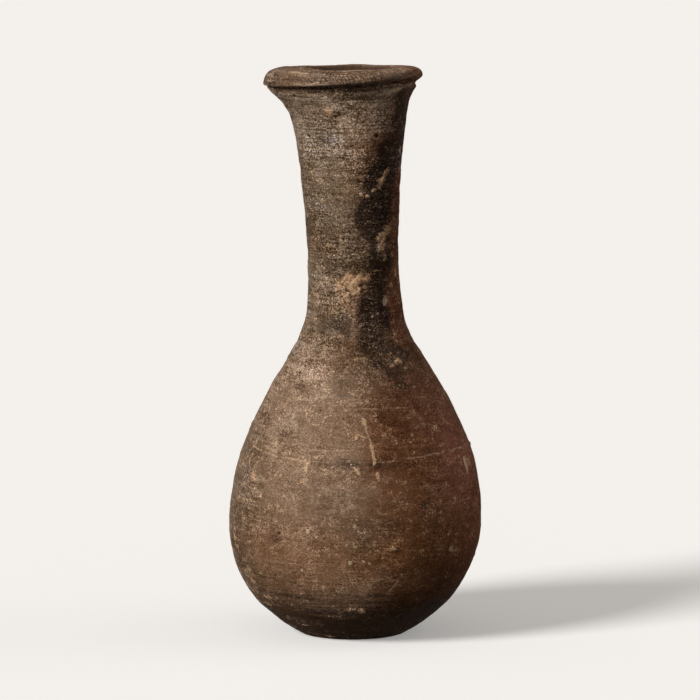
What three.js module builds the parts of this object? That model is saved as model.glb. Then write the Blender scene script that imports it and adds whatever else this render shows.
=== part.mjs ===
// Ceramic unguentarium: a pear-shaped flask for oil or perfume, thrown on a potter's wheel.
// Five turned members of fired clay stand on each other, joined by thin rings of hardened slip.
// Millimetres, +Z up. The origin is the middle of the flat foot, straight under the belly,
// and the front of the flask looks along -Y.

import * as THREE from 'three';

// Outer face below the lip, from the foot to the undercut of the lip: radius and height.
const OUTLINE = [
  [13.4, 0],
  [18.6, 3.5],
  [25.3, 10],
  [30.15, 20],
  [31.05, 32],
  [28.6, 45],
  [22.9, 58],
  [17.15, 68],
  [13.7, 74],
  [11.8, 81],
  [11.25, 96],
  [12.25, 114],
  [13.9, 126],
  [15.4, 131],
  [18.0, 135.2],
];

// The flask was thrown a little off true: how far its middle lies from the origin, and the height.
const LEAN = [
  [-0.72, 0],
  [-0.47, 16],
  [0.12, 34],
  [0.26, 60],
  [-0.27, 84],
  [-1.08, 110],
  [-1.6, 126],
  [-2.3, 131],
  [-3.7, 135.2],
  [-3.05, 138],
  [-3.0, 141],
];

// Section of the lip, from its joint at the undercut, round the rolled edge and over the mouth's
// crest, down to the bore: radius, and height above the undercut.
const LIP = [
  [18.0, 0],
  [18.1, 0.8],
  [19.15, 1.5],
  [19.55, 2.6],
  [19.2, 3.9],
  [18.2, 4.75],
  [16.4, 5.15],
  [14.2, 5.2],
  [13.0, 4.9],
  [12.5, 4.1],
  [12.45, 2.2],
];

// Wall and joints
const WALL = 3.2;
const BEVEL = 1.4;
const SLIP = 0.4;
const BASE_JOINT = 8;
const BELLY_JOINT = 47.2;
const NECK_JOINT = 75;
const LIP_JOINT = 135.2;

// The mouth is tilted: its rise for each millimetre to the back, and where the tilt sets in.
const TILT_BACK = -0.048;
const TILT_START = 118;
const TILT_FULL = 133;

// The rolled edge sags more on the left than on the right.
const LIP_RADIUS = 19.55;
const MOUTH_RADIUS = 13;
const EDGE_RISE = 1.5;
const EDGE_SAG = 0.8;

// Fineness of the surfaces
const FACETS = 48;
const BASE_STEPS = 4;
const LOWER_STEPS = 10;
const UPPER_STEPS = 8;
const NECK_STEPS = 15;
const LIP_STEPS = 20;
const SLOPE_SPAN = 1;
const HALVINGS = 30;

const outline = risingCurve(OUTLINE);
const centreLine = risingCurve(LEAN);

function risingCurve(rows) {
  return new THREE.SplineCurve(rows.map(([across, height]) => new THREE.Vector2(across, height)));
}

// How far out a rising curve runs at a height, found by halving the stretch that holds it.
function acrossAt(curve, height) {
  let low = 0;
  let high = 1;
  for (let count = 0; count < HALVINGS; count += 1) {
    const middle = (low + high) / 2;
    if (curve.getPoint(middle).y < height) {
      low = middle;
    } else {
      high = middle;
    }
  }
  return curve.getPoint(high).x;
}

function outerRadius(height) {
  return acrossAt(outline, height);
}

// The wall keeps its thickness square to the outer face, so a sloping wall is wider across.
function innerRadius(height) {
  const above = Math.min(height + SLOPE_SPAN / 2, LIP_JOINT);
  const below = above - SLOPE_SPAN;
  const slope = (outerRadius(above) - outerRadius(below)) / SLOPE_SPAN;
  return outerRadius(height) - WALL * Math.hypot(1, slope);
}

function outerPoints(from, to, steps) {
  return Array.from({ length: steps + 1 }, (_, index) => {
    const height = THREE.MathUtils.lerp(from, to, index / steps);
    return new THREE.Vector2(outerRadius(height), height);
  });
}

function innerPoints(from, to, steps) {
  return Array.from({ length: steps + 1 }, (_, index) => {
    const height = THREE.MathUtils.lerp(from, to, index / steps);
    return new THREE.Vector2(innerRadius(height), height);
  });
}

// A wall between two joints. The joint faces are bevelled: the bore edge lies lower than the
// outer edge, so that each member seats in the one below it.
function wallSection(foot, head, steps) {
  const outer = outerPoints(foot, head, steps);
  const inner = innerPoints(head - BEVEL, foot - BEVEL, steps);
  return [...outer, ...inner, outer[0].clone()];
}

// The base is a solid disc up to the floor of the flask, with a bevelled edge.
function baseSection(head) {
  const floor = head - BEVEL;
  return [
    new THREE.Vector2(0, 0),
    ...outerPoints(0, head, BASE_STEPS),
    new THREE.Vector2(innerRadius(floor), floor),
    new THREE.Vector2(0, floor),
  ];
}

function lipSection(foot) {
  const bore = new THREE.Vector2(innerRadius(foot - BEVEL), foot - BEVEL);
  const edge = LIP.map(([radius, rise]) => new THREE.Vector2(radius, LIP_JOINT + rise));
  edge[0].set(outerRadius(foot), foot);
  const round = new THREE.SplineCurve([...edge, bore]);
  return [...round.getPoints(LIP_STEPS), edge[0].clone()];
}

// Moves one point of the true turned form to where the off-true, tilted flask has it.
function settle(point) {
  const { x, y, z } = point;
  const radius = Math.hypot(x, y);
  const tilt = THREE.MathUtils.smoothstep(z, TILT_START, TILT_FULL);
  const outwards = THREE.MathUtils.clamp((radius - MOUTH_RADIUS) / (LIP_RADIUS - MOUTH_RADIUS), 0, 1);
  const upwards = THREE.MathUtils.clamp((z - LIP_JOINT) / EDGE_RISE, 0, 1);
  const sag = outwards ** 2 * upwards * EDGE_SAG * (radius > 0 ? x / radius : 0);
  point.x = x + acrossAt(centreLine, z);
  point.z = z + tilt * TILT_BACK * y + sag;
}

// Turns a section round the upright axis, then settles every point of it.
function turned(name, section, material) {
  const geometry = new THREE.LatheGeometry(section, FACETS);
  geometry.rotateX(Math.PI / 2);
  const places = geometry.attributes.position;
  const point = new THREE.Vector3();
  for (let index = 0; index < places.count; index += 1) {
    point.fromBufferAttribute(places, index);
    settle(point);
    places.setXYZ(index, point.x, point.y, point.z);
  }
  geometry.computeVertexNormals();
  const mesh = new THREE.Mesh(geometry, material);
  mesh.name = name;
  return mesh;
}

function firedClay(color, roughness) {
  return new THREE.MeshStandardMaterial({ color, roughness, metalness: 0 });
}

const halfSlip = SLIP / 2;

function basePad() {
  return turned('base_pad', baseSection(BASE_JOINT - halfSlip), firedClay(0x4d3a2d, 0.9));
}

function lowerBody() {
  const section = wallSection(BASE_JOINT + halfSlip, BELLY_JOINT - halfSlip, LOWER_STEPS);
  return turned('lower_body', section, firedClay(0x78593f, 0.88));
}

function upperBody() {
  const section = wallSection(BELLY_JOINT + halfSlip, NECK_JOINT - halfSlip, UPPER_STEPS);
  return turned('upper_body', section, firedClay(0x7d6049, 0.88));
}

function neck() {
  const section = wallSection(NECK_JOINT + halfSlip, LIP_JOINT - SLIP, NECK_STEPS);
  return turned('neck', section, firedClay(0x5f4a3a, 0.9));
}

function lip() {
  return turned('lip', lipSection(LIP_JOINT), firedClay(0x70594a, 0.86));
}

// The slip that holds two members together, hardened in the fire.
function slipRing(name, head) {
  return turned(name, wallSection(head - SLIP, head, 1), firedClay(0x8a7058, 0.95));
}

const flask = new THREE.Group();
flask.add(basePad());
flask.add(slipRing('slip_ring_base', BASE_JOINT + halfSlip));
flask.add(lowerBody());
flask.add(slipRing('slip_ring_belly', BELLY_JOINT + halfSlip));
flask.add(upperBody());
flask.add(slipRing('slip_ring_neck', NECK_JOINT + halfSlip));
flask.add(neck());
flask.add(slipRing('slip_ring_lip', LIP_JOINT));
flask.add(lip());

export default flask;
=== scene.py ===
import math

import bpy
import numpy as np
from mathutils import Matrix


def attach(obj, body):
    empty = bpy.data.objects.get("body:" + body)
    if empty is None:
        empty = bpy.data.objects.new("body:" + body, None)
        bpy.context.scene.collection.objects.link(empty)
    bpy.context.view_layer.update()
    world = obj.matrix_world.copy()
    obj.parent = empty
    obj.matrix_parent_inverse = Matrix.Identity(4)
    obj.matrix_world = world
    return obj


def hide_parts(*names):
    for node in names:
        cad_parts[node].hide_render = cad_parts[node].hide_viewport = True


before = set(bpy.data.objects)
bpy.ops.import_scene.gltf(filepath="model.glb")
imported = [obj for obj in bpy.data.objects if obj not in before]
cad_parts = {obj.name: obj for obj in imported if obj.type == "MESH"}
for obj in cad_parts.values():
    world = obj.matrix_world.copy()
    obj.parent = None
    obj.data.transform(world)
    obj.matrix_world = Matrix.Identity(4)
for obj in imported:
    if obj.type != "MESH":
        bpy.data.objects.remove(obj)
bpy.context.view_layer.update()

# The looks of a ceramic unguentarium, a thrown clay flask for oil or perfume.
# Shapes are worked out in millimetres in the flask's own frame, and stored in metres.
# An angle of 0 faces the viewer, and angles grow towards the viewer's right.

MM = 0.001

# Outer face below the lip: radius and height
OUTLINE = [
    (13.4, 0), (18.6, 3.5), (25.3, 10), (30.15, 20), (31.05, 32), (28.6, 45), (22.9, 58), (17.15, 68),
    (13.7, 74), (11.8, 81), (11.25, 96), (12.25, 114), (13.9, 126), (15.4, 131), (18.0, 135.2),
]
# How far the flask's middle lies from the upright axis: offset and height
LEAN = [
    (-0.72, 0), (-0.47, 16), (0.12, 34), (0.26, 60), (-0.27, 84), (-1.08, 110), (-1.6, 126),
    (-2.3, 131), (-3.7, 135.2), (-3.05, 138), (-3.0, 141),
]
# Section of the lip, from the undercut over the crest to the bore: radius and rise over its joint
LIP = [
    (18.0, 0), (18.1, 0.8), (19.15, 1.5), (19.55, 2.6), (19.2, 3.9), (18.2, 4.75), (16.4, 5.15),
    (14.2, 5.2), (13.0, 4.9), (12.5, 4.1), (12.45, 2.2),
]

# Wall and joints
WALL = 3.2
BEVEL = 1.4
SLIP = 0.4
BASE_JOINT = 8
BELLY_JOINT = 47.2
NECK_JOINT = 75
LIP_JOINT = 135.2

# Tilt of the mouth: its rise for each millimetre to the back, and where the tilt sets in
TILT_BACK = -0.048
TILT_RANGE = (118, 133)
# Sag of the rolled edge on the left
LIP_RADIUS = 19.55
MOUTH_RADIUS = 13
EDGE_RISE = 1.5
EDGE_SAG = 0.8
# How the lower edge of the roll rises towards the right: angle and rise
UNDERCUT_RISE = [
    (-180, 0.3), (-60, 0.1), (-30, 0.3), (-10, 0.4), (5, 0.6), (15, 0.9), (35, 1.2), (50, 1.6),
    (62, 1.7), (76, 1.0), (90, 0.4), (130, 0.4), (180, 0.3),
]
# How far below the joint that rise sets in, and how far above it the rise ends
UNDERCUT_REACH = 7
WIDEST_RISE = 2.6
# How much the crest of the lip rises or sinks round the flask: angle and rise
CREST_RISE = [
    (-180, -0.15), (-150, -0.35), (-110, -0.1), (-90, -0.2), (-70, 0.1), (-45, 0.3), (-10, -0.1),
    (20, -0.1), (50, 0.1), (75, -0.1), (95, -0.3), (130, -0.2), (180, -0.15),
]
CREST_WAVE = 0.06
CREST_WAVES = 7
CREST_START = (1, 4)

# The fold of clay pressed against the flare on the right: angle, height of its ridge, half width,
# how far the ridge stands out, and how deep the hollow above it is
FOLD = [
    (26, 132.8, 0.7, 0, 0), (38, 133.1, 0.7, 0.6, 0.5), (46, 133.7, 0.7, 1.2, 1.0),
    (54, 134.2, 0.8, 1.3, 1.0), (66, 134.8, 1.0, 1.1, 0.9), (76, 135.1, 1.3, 0.9, 0.3),
    (90, 134.8, 2.0, 0.6, 0), (120, 135.0, 1.8, 0, 0),
]
HOLLOW_RISE = 2.0
HOLLOW_WIDTH = 1.0
# The undercut below the rolled edge: its depth and half width, and where it starts and ends, in degrees
UNDERCUT_DEPTH = 0.7
UNDERCUT_WIDTH = 1.0
UNDERCUT_START = (-84, -54)
UNDERCUT_END = (40, 56)
# How far outside the mouth the fold and the undercut set in, so that the bore stays true
OUTSIDE = (1.5, 3)
# The squared lower corner of the roll: how far along the section it lies, how far it stands out,
# its half width, and how far it reaches to both sides of the front, in degrees
CORNER_PLACE = 2.2
CORNER_SWELL = 0.3
CORNER_WIDTH = 0.7
CORNER_REACH = 60

# Where along the lip's section the dark inside of the mouth begins
MOUTH_EDGE = (10.0, 11.8)
# Over what distance the relief fades out: below the joint under the lip, and along the lip's section
WALL_FADE = 0.7
LIP_FADE = 0.6

# Spacing of the rows of points: up the wall, inside the flask, under the foot and over the lip
ROW = 0.33
BORE_ROW = 2.0
FOOT_ROW = 0.45
LIP_ROW = 0.27
# Radius of the innermost row of a flat face
INNERMOST = 1
# How many points a row has round the flask: as a rule, on the belly, the shoulder and the neck
AROUND = 480
BELLY_AROUND = 576
SHOULDER_AROUND = 512
NECK_AROUND = 384

# Broad unevenness of the face: depth, size and seed
SWELLS = [(0.12, 14, 1), (0.06, 6, 4)]
# Its sandy grain: depth everywhere, more where the clay is coarse, size and seed
GRAINS = [(0.03, 0.04, 2.2, 2), (0.015, 0.04, 1.0, 3)]
# Ridges of the wheel: depth, reach round the flask, height and seed
RINGS = [(0.10, 1.1, 3.6, 21), (0.05, 0.8, 1.4, 22)]
# Inside the flask the ridges are deeper and wider by so much
BORE_RINGS = 2.2
BORE_STRETCH = 0.45

# The string that cut the foot from the wheel: the middle of its arcs, how close they lie, and their
# depth. They end at the rim, and the underside is coloured like a height below the foot.
STRING_MIDDLE = (-30, -14)
STRING_CLOSENESS = 2.4
STRING_DEPTH = 0.12
FOOT_RIM = 11.5
UNDERSIDE = -3
# Points lower than this belong to the underside
FLATNESS = 0.01

# Uneven bands of each kind round the flask: height, left and right edge in degrees, and strength
BANDS = {
    # Soot and painted shade: the first band, down the right of the neck and onto the shoulder, is partly
    # painted shade where the light turns away
    "soot_and_painted_shade": [
        [
            (60, 33, 40, 0), (64, 29, 42, 0.6), (68, 20, 46, 0.6), (71, -2, 60, 0.7), (74, 2, 42, 0.8),
            (80, 4, 46, 1), (84, 8, 44, 1), (88, 16, 44, 1), (93, 18, 60, 0.95), (98, 18, 50, 0.9),
            (101, 8, 52, 1), (103, 3, 54, 1), (108, 6, 57, 1), (112, 12, 60, 1), (118, 24, 76, 1),
            (122, 37, 110, 0.95), (126.5, 50, 110, 0.9), (134, 52, 110, 0.7), (138, 54, 100, 0),
        ],
        [(72, -60, -5, 0), (77, -50, -5, 0.5), (80, -45, 0, 0.45), (84, -30, 0, 0)],
        [
            (89, -62, 20, 0), (93, -62, 25, 0.5), (97, -40, 22, 0.25), (101, -60, 16, 0.3),
            (106, -60, 14, 0.15), (110, -30, 10, 0),
        ],
        [(60, 120, 190, 0), (72, 130, 200, 0.9), (95, 125, 175, 1), (120, 135, 165, 0)],
    ],
    # Redness and painted warm shade: this band down the right side gives the side turned from the light a
    # painted warm tint of shade
    "redness_and_painted_warm_shade": [
        [
            (0, 30, 140, 0.7), (14, 16, 150, 1), (30, 8, 150, 1), (50, 8, 150, 1), (60, 12, 140, 0.9),
            (70, 30, 130, 0.8), (80, 50, 100, 0.8), (100, 54, 100, 0.9), (130, 56, 90, 0.6),
        ],
    ],
    "dusk": [
        [(0, -200, 200, 1), (6, -200, 200, 1), (11, -200, 200, 0.55), (16, -200, 200, 0)],
    ],
    "shade": [
        [
            (0, -200, -58, 1), (30, -200, -60, 1), (50, -200, -58, 0.8), (64, -200, -70, 0.3),
            (80, -200, -50, 0.6), (105, -200, -45, 0.8), (125, -200, -60, 0.5),
        ],
    ],
}

# Wide soft areas of each kind: angle, height, half width, half height and strength. An angle is
# given in degrees, and everything else in millimetres.
AREAS = {
    "soot_and_painted_shade": [
        (-33, 124, 4, 4, 0.45), (-12, 64, 3, 3, 0.45), (-5, 46, 5, 1.8, 0.5), (8, 46, 6, 1.8, 0.45),
        (22, 46.2, 8, 1.8, 0.35), (-6, 51.8, 3, 1.6, 0.4), (33, 36, 2, 3, 0.6), (-150, 62, 14, 10, 0.4),
    ],
    "redness_and_painted_warm_shade": [(-25, 24, 12, 6, 0.25), (-150, 30, 18, 20, 0.5)],
    "ash": [
        (-55, 74, 14, 10, 0.6), (-40, 115, 10, 22, 0.6), (-60, 88, 8, 10, 0.8), (-13, 64, 8, 5, 0.4),
        (-52, 44, 14, 18, 0.35), (-10, 67, 30, 6, 0.35), (-8, 38, 9, 7, 0.4), (5, 30, 6, 5, 0.45),
        (170, 60, 30, 26, 0.6),
    ],
    "ochre": [
        (0, 20, 24, 9, 0.8), (-50, 24, 16, 9, 0.7), (35, 42, 14, 12, 0.3), (64, 86, 3, 7, 0.7),
        (-160, 25, 40, 14, 0.8), (16, 121, 6, 9, 0.6), (14, 80, 4, 8, 0.5),
    ],
    "umber": [
        (34, 26, 18, 9, 1), (70, 20, 16, 12, 1), (34, 12, 14, 5, 0.8), (30, 44, 8, 12, 0.5),
        (42, 87, 5, 3, 0.6),
    ],
    "berry": [
        (66, 46, 14, 18, 0.95), (62, 62, 14, 8, 0.6), (66, 24, 12, 9, 0.6), (68, 112, 10, 14, 0.8),
        (68, 82, 12, 8, 0.8),
    ],
    "dust": [
        (-54, 41.6, 4, 5, 0.7), (-28, 43, 3, 6, 0.4), (-54, 35, 4, 2.5, 0.6), (-62, 18, 4, 4, 0.6),
        (-56, 12, 4, 4, 0.45), (-56, 6, 5, 3, 0.4), (-71, 24, 3, 5, 0.5), (-73, 13, 4, 6, 0.6),
        (-70, 5, 5, 4, 0.55), (-36, 73, 8, 6, 0.5), (-12, 81, 3, 4, 0.5), (-56, 88, 4, 6, 0.6),
        (38, 69, 3, 3, 0.6), (-40, 64, 9, 7, 0.35), (-14, 129.5, 4, 2.5, 0.8), (-44, 130, 6, 4, 0.55),
        (-42, 118, 5, 9, 0.4), (-8, 94, 5, 3.5, 0.5), (-20, 99, 6, 2.5, 0.4), (-25, 52, 14, 8, 0.3),
        (0, 28, 4, 3, 0.3), (-12, 0.8, 11, 1.2, 0.6), (176, 34, 22, 14, 0.4), (140, 72, 10, 9, 0.4),
    ],
}

# Soft lighter and darker areas, from top to bottom: angle, height, half width, half height and how
# much lighter, in stops. Some are uneven firing, and many are painted light and shade: painted
# shadow under the rolled edge and the fold, painted shade darkening the lower right, and painted
# light where the flask would otherwise fall too dark.
FIRING_TONES_AND_PAINTED_LIGHT = [
    # The lip
    (64, 142, 4, 2, 0.5), (46, 140.4, 5, 1.8, 0.6), (64, 139, 9, 4, 0.6), (-52, 138.9, 5, 1.2, -0.5),
    # The undercut and the flare: painted shadow under the rolled edge and the fold, and painted light on
    # the flare
    (-26, 135.4, 4, 1.1, -0.4), (-7, 135.2, 3, 1.5, -0.5), (-50, 134.8, 6, 1.5, -0.5),
    (-12, 134.2, 7, 1.5, -0.5), (-16, 134, 3, 2, 0.4), (-34, 133.8, 8, 1.5, 0.4),
    (56, 133.6, 6, 1.6, 0.7), (24, 133.3, 15, 2, 0.8), (66, 133, 5, 2, -0.4), (-38, 132.5, 10, 2, 0.4),
    (56, 132.2, 4, 1.6, -0.6), (-8, 131, 3, 1.5, 0.5), (10, 131, 8, 4, 0.3), (36, 131, 4, 1.5, 0.6),
    (34, 128, 5, 4.5, 0.8), (64, 128, 5, 3, -0.3), (-62, 127, 6, 3, 0.3), (-30, 127, 3, 2.5, -0.35),
    # The neck
    (-56, 125, 6, 2.5, 0.4), (12, 125, 6, 2, 0.3), (14, 124, 10, 7, 0.3), (43, 122.6, 3.5, 2, -0.9),
    (-4, 122, 5, 3.5, 0.7), (36, 121.5, 5, 2.5, -0.5), (16, 119.5, 4, 2, 0.4), (66, 119, 5, 2.5, 0.6),
    (30, 118.5, 4, 2, -0.7), (-66, 117, 4, 3.5, -0.6), (40, 116.3, 5, 1.5, -0.5), (8, 115, 16, 5, 0.2),
    (-70, 114, 4, 8, -0.35), (28, 113.5, 4, 2.5, -0.9), (50, 113, 3.5, 1.8, 1.1),
    (22, 110.3, 5, 1.2, 0.8), (66, 108.5, 5, 6, -1.2), (50, 106.8, 4, 1.4, 0.5), (30, 106.5, 4, 2, -0.7),
    (-60, 105, 7, 7, -0.8), (-14, 104, 2.5, 2.5, 0.3), (-18, 103.5, 5, 4, 0.3), (36, 103.5, 4, 1.6, -0.5),
    (-34, 98, 3, 2, -0.4), (40, 97.6, 4, 2.6, 1), (-66, 97, 6, 3.5, -0.7), (64, 97, 6, 4, -0.4),
    (68, 97, 4, 4, -0.4), (36, 96.5, 5, 3, 0.4), (39, 96.5, 2.5, 2.5, 0.7), (66, 96.5, 5, 3, -0.6),
    (-24, 95, 4, 1.4, 0.4), (10, 94, 9, 6, -0.2), (10, 92.5, 4, 2.2, -0.7), (-28, 92, 3, 1.8, -0.5),
    (44, 92, 3, 1.5, -0.5), (14, 91, 5, 2.5, -0.3),
    # The foot of the neck
    (20, 89, 3, 1.5, -0.4), (-50, 86, 5, 3, -0.5), (8, 86, 3, 1.5, 0.4), (52, 84, 4, 4, 0.4),
    (41, 83.8, 1.8, 1.6, 0.9), (13, 81.5, 4, 2.5, 0.5), (60, 81.5, 14, 4, -0.5), (-20, 81, 4, 3, 0.3),
    (-38, 80, 4.5, 4, -0.6), (-8, 79, 10, 5, -0.25), (10, 78, 5, 3, 0.3), (0, 77, 9, 2, 0.25),
    (48, 76, 2.5, 1.5, 0.3), (-66, 74.5, 5, 2, -0.7),
    # The shoulder
    (-14, 73.5, 4, 2, -0.5), (-2, 72, 5, 3, -0.4), (60, 71.5, 6, 2, -0.5), (16, 70.5, 14, 4, -0.35),
    (39, 70.5, 4, 3.5, 0.6), (6, 70, 6, 4, -0.6), (-4, 69.5, 5, 3, -0.3), (-30, 68, 10, 6, 0.2),
    (56, 68, 6, 1.5, -0.3), (9, 65.5, 4, 2, -0.5), (46, 64.5, 8, 5, -0.5), (-32, 61, 6, 8, 0.35),
    (60, 60, 8, 5, 0.35), (22, 58, 5, 5, -0.65), (26, 58, 10, 8, -0.3), (30, 57, 5, 4, -0.35),
    (-2, 56, 3, 2, -0.4),
    # The belly
    (62, 52, 12, 14, 0.3), (-68, 50, 7, 12, -0.2), (-20, 50, 5, 6, 0.15), (-8, 47.4, 2.5, 1.2, 0.5),
    (-17, 47, 2.5, 2, -0.5), (18, 46, 4, 4, -0.6), (34, 46, 9, 6, -0.25), (62, 46, 9, 9, 0.7),
    (-56, 45, 8, 5, -0.5), (68, 43.6, 1.2, 2.2, 1), (44, 36, 6, 5, 0.3), (55, 36, 9, 6, 0.15),
    (-56, 34, 9, 12, -0.15), (45, 33, 5, 4, 0.4), (-4, 32, 4, 2, -0.4), (-64, 31, 5, 4, -0.6),
    (8, 31, 6, 4.5, -0.65), (18, 27, 2, 2, 0.4), (5, 26, 4, 1.5, -0.5), (-46, 25, 6, 3, -0.6),
    (25, 23, 8, 3.5, 0.5), (-70, 22, 6, 5, -0.9), (24, 21.5, 5, 3, 0.45), (-16, 20, 6, 2, 0.35),
    # Towards the foot: painted shade darkens the right, and painted light lifts the front
    (62, 19, 12, 4, -0.3), (18, 18, 9, 3, 0.6), (60, 18, 12, 4, -0.7), (-48, 17, 8, 4, -0.6),
    (76, 16, 8, 6, -0.5), (34, 15, 4, 2, 0.3), (52, 14, 6, 4, -0.6), (20, 13, 7, 3, 0.4),
    (14, 12.3, 13, 2.3, 0.45), (-44, 12, 9, 3, -0.8), (2, 12, 12, 3.5, 0.7), (8, 12, 5, 2, -0.1),
    (2, 9.4, 4, 1.3, 0.6), (62, 9, 14, 6, -1.1), (-2, 8.5, 4, 1.5, 0.4), (60, 8.5, 14, 3.5, -1.8),
    (1, 8.4, 6, 1.5, 0.6), (-2, 7.4, 8, 1.3, 0.5), (-46, 6, 8, 3, -0.3), (38, 6, 7, 4, -0.6),
    (8, 4, 10, 2.5, -0.5), (54, 3, 13, 3, -1.2), (-24, 2.5, 8, 2, 0.5),
]

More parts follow.
